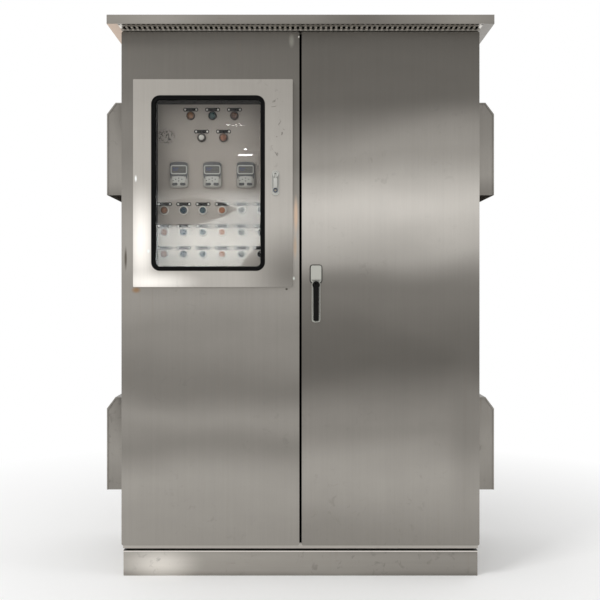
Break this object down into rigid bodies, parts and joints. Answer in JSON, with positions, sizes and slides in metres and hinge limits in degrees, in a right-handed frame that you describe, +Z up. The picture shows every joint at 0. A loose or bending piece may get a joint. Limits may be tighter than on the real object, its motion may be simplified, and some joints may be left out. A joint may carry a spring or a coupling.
{
  "type": "drive control cabinet",
  "caption": "Free-standing outdoor stainless drive control cabinet with hinged doors, a windowed control panel, side air hoods and a rain roof.",
  "frame": {"origin": "centre of the bounding box's footprint, on the floor", "axes": "+Z up, -Y towards the operator at the doors, +X to the operator's right"},
  "size_m": [1.356, 0.72, 1.868],
  "materials": {
    "stainless_sheet": "fine brushed, slightly wavy, weathered",
    "zinc_plate": "zinc plated, dull",
    "bright_steel": "turned and ground",
    "grey_enamel": "light grey, semi gloss",
    "black_nylon": "fine moulded grain",
    "black_rubber": "extruded, matt",
    "window_clear": "clear, polished, faintly stained",
    "amber_lens": "translucent",
    "green_lens": "translucent",
    "red_lens": "translucent",
    "white_lens": "translucent",
    "green_cap": "moulded",
    "red_cap": "moulded",
    "grey_plastic": "fine moulded grain",
    "dark_grey_plastic": "fine moulded grain",
    "legend_grey": "engraved laminate, bare",
    "screen_film": "liquid crystal display",
    "membrane": "printed film, bare",
    "panel_paint": "light grey powder coat",
    "filter_fleece": "fleece mat",
    "terminal_beige": "moulded"
  },
  "bodies": {
    "cabinet": {"plinth": "stainless_sheet", "base_bolts": "zinc_plate", "carcass": "stainless_sheet", "roof_cap": "stainless_sheet", "door_hinge_pins": "bright_steel", "vent_hoods": "stainless_sheet", "fan_housings": "black_nylon", "filter_mats": "filter_fleece", "mounting_plate": "zinc_plate", "frequency_drives": "grey_plastic", "main_breaker": "dark_grey_plastic", "terminal_blocks": "terminal_beige", "wiring_ducts": "grey_plastic"},
    "left_leaf": {"left_door": "stainless_sheet", "left_door_seal": "black_rubber", "window_hinge_pins": "bright_steel", "control_box": "stainless_sheet", "control_panel": "panel_paint", "lamp_bodies": "bright_steel", "switch_bodies": "bright_steel", "amber_lens": "amber_lens", "green_lenses": "green_lens", "red_lenses": "red_lens", "white_lens": "white_lens", "legend_plates": "legend_grey", "keypad_housings": "grey_plastic", "keypad_screens": "screen_film", "keypad_membranes": "membrane"},
    "window_leaf": {"window_door": "stainless_sheet", "window_gasket": "black_rubber", "window_pane": "window_clear", "window_lock_housing": "grey_enamel"},
    "right_leaf": {"right_door": "stainless_sheet", "right_door_seal": "black_rubber", "handle_housing": "grey_enamel"},
    "handle_spindle": {"handle_hub": "black_nylon", "rod_cam": "zinc_plate"},
    "window_lock_spindle": {"window_lock_cam": "bright_steel"},
    "breaker_toggle": {"breaker_toggle": "black_nylon"},
    "fan_rotor_left": {"fan_rotor_left": "black_nylon"},
    "fan_rotor_right": {"fan_rotor_right": "black_nylon"},
    "left_top_bolt": {"left_top_bolt": "zinc_plate"},
    "left_bottom_bolt": {"left_bottom_bolt": "zinc_plate"},
    "window_lock_lever": {"window_lock_lever": "grey_enamel"},
    "handle_lever": {"handle_lever": "black_nylon"},
    "lock_cover": {"lock_cover": "grey_enamel"},
    "upper_rod": {"upper_rod": "zinc_plate"},
    "lower_rod": {"lower_rod": "zinc_plate"},
    "start_button_1": {"start_button_1": "green_cap"},
    "start_button_2": {"start_button_2": "green_cap"},
    "start_button_3": {"start_button_3": "green_cap"},
    "stop_button_1": {"stop_button_1": "red_cap"},
    "stop_button_2": {"stop_button_2": "red_cap"},
    "stop_button_3": {"stop_button_3": "red_cap"},
    "mode_selector_1": {"mode_selector_1": "black_nylon"},
    "mode_selector_2": {"mode_selector_2": "black_nylon"},
    "mode_selector_3": {"mode_selector_3": "black_nylon"},
    "speed_knob_1": {"speed_knob_1": "black_nylon"},
    "speed_knob_2": {"speed_knob_2": "black_nylon"},
    "speed_knob_3": {"speed_knob_3": "black_nylon"}
  },
  "joints": [
    {"name": "left_door_swing", "type": "hinge", "parent": "cabinet", "child": "left_leaf", "pos_m": [-0.59, -0.289, 0.97], "axis": [0, 0, -1], "range_deg": [0, 105]},
    {"name": "right_door_swing", "type": "hinge", "parent": "cabinet", "child": "right_leaf", "pos_m": [0.59, -0.289, 0.97], "axis": [0, 0, 1], "range_deg": [0, 105]},
    {"name": "window_door_swing", "type": "hinge", "parent": "left_leaf", "child": "window_leaf", "pos_m": [-0.5495, -0.312, 1.32], "axis": [0, 0, -1], "range_deg": [0, 105]},
    {"name": "handle_turn", "type": "hinge", "parent": "right_leaf", "child": "handle_spindle", "pos_m": [0.052, -0.3163, 0.982], "axis": [0, -1, 0], "range_deg": [0, 90]},
    {"name": "handle_lift", "type": "hinge", "parent": "handle_spindle", "child": "handle_lever", "pos_m": [0.052, -0.3163, 0.982], "axis": [-1, 0, 0], "range_deg": [0, 45]},
    {"name": "lock_cover_swing", "type": "hinge", "parent": "right_leaf", "child": "lock_cover", "pos_m": [0.052, -0.313, 1.041], "axis": [0, -1, 0], "range_deg": [0, 100]},
    {"name": "upper_rod_slide", "type": "slide", "parent": "right_leaf", "child": "upper_rod", "axis": [0, 0, 1], "range_m": [-0.0201, 0]},
    {"name": "lower_rod_slide", "type": "slide", "parent": "right_leaf", "child": "lower_rod", "axis": [0, 0, 1], "range_m": [0, 0.0201]},
    {"name": "window_lock_turn", "type": "hinge", "parent": "window_leaf", "child": "window_lock_spindle", "pos_m": [-0.083, -0.3343, 1.347], "axis": [0, -1, 0], "range_deg": [0, 90]},
    {"name": "window_lock_lift", "type": "hinge", "parent": "window_lock_spindle", "child": "window_lock_lever", "pos_m": [-0.083, -0.3343, 1.347], "axis": [-1, 0, 0], "range_deg": [0, 45]},
    {"name": "left_top_bolt_slide", "type": "slide", "parent": "left_leaf", "child": "left_top_bolt", "axis": [0, 0, -1], "range_m": [0, 0.03]},
    {"name": "left_bottom_bolt_slide", "type": "slide", "parent": "left_leaf", "child": "left_bottom_bolt", "axis": [0, 0, 1], "range_m": [0, 0.03]},
    {"name": "breaker_switching", "type": "hinge", "parent": "cabinet", "child": "breaker_toggle", "pos_m": [-0.38, 0.175, 0.87], "axis": [1, 0, 0], "range_deg": [0, 30]},
    {"name": "left_fan_spin", "type": "hinge", "parent": "cabinet", "child": "fan_rotor_left", "pos_m": [-0.575, 0, 1.459], "axis": [1, 0, 0], "continuous": true},
    {"name": "right_fan_spin", "type": "hinge", "parent": "cabinet", "child": "fan_rotor_right", "pos_m": [0.575, 0, 1.459], "axis": [1, 0, 0], "continuous": true},
    {"name": "start_press_1", "type": "slide", "parent": "left_leaf", "child": "start_button_1", "axis": [0, 1, 0], "range_m": [0, 0.004], "stiffness_N_per_m": 300},
    {"name": "stop_press_1", "type": "slide", "parent": "left_leaf", "child": "stop_button_1", "axis": [0, 1, 0], "range_m": [0, 0.004], "stiffness_N_per_m": 300},
    {"name": "mode_turn_1", "type": "hinge", "parent": "left_leaf", "child": "mode_selector_1", "pos_m": [-0.2025, -0.24, 1.238], "axis": [0, -1, 0], "range_deg": [-45, 45]},
    {"name": "speed_turn_1", "type": "hinge", "parent": "left_leaf", "child": "speed_knob_1", "pos_m": [-0.1365, -0.24, 1.238], "axis": [0, -1, 0], "range_deg": [-135, 135]},
    {"name": "start_press_2", "type": "slide", "parent": "left_leaf", "child": "start_button_2", "axis": [0, 1, 0], "range_m": [0, 0.004], "stiffness_N_per_m": 300},
    {"name": "stop_press_2", "type": "slide", "parent": "left_leaf", "child": "stop_button_2", "axis": [0, 1, 0], "range_m": [0, 0.004], "stiffness_N_per_m": 300},
    {"name": "mode_turn_2", "type": "hinge", "parent": "left_leaf", "child": "mode_selector_2", "pos_m": [-0.2025, -0.24, 1.163], "axis": [0, -1, 0], "range_deg": [-45, 45]},
    {"name": "speed_turn_2", "type": "hinge", "parent": "left_leaf", "child": "speed_knob_2", "pos_m": [-0.1365, -0.24, 1.163], "axis": [0, -1, 0], "range_deg": [-135, 135]},
    {"name": "start_press_3", "type": "slide", "parent": "left_leaf", "child": "start_button_3", "axis": [0, 1, 0], "range_m": [0, 0.004], "stiffness_N_per_m": 300},
    {"name": "stop_press_3", "type": "slide", "parent": "left_leaf", "child": "stop_button_3", "axis": [0, 1, 0], "range_m": [0, 0.004], "stiffness_N_per_m": 300},
    {"name": "mode_turn_3", "type": "hinge", "parent": "left_leaf", "child": "mode_selector_3", "pos_m": [-0.2025, -0.24, 1.088], "axis": [0, -1, 0], "range_deg": [-45, 45]},
    {"name": "speed_turn_3", "type": "hinge", "parent": "left_leaf", "child": "speed_knob_3", "pos_m": [-0.1365, -0.24, 1.088], "axis": [0, -1, 0], "range_deg": [-135, 135]}
  ],
  "couplings": [
    {"joint": "upper_rod_slide", "follows": "handle_turn", "m_per_rad": -0.012732},
    {"joint": "lower_rod_slide", "follows": "handle_turn", "m_per_rad": 0.012732}
  ]
}
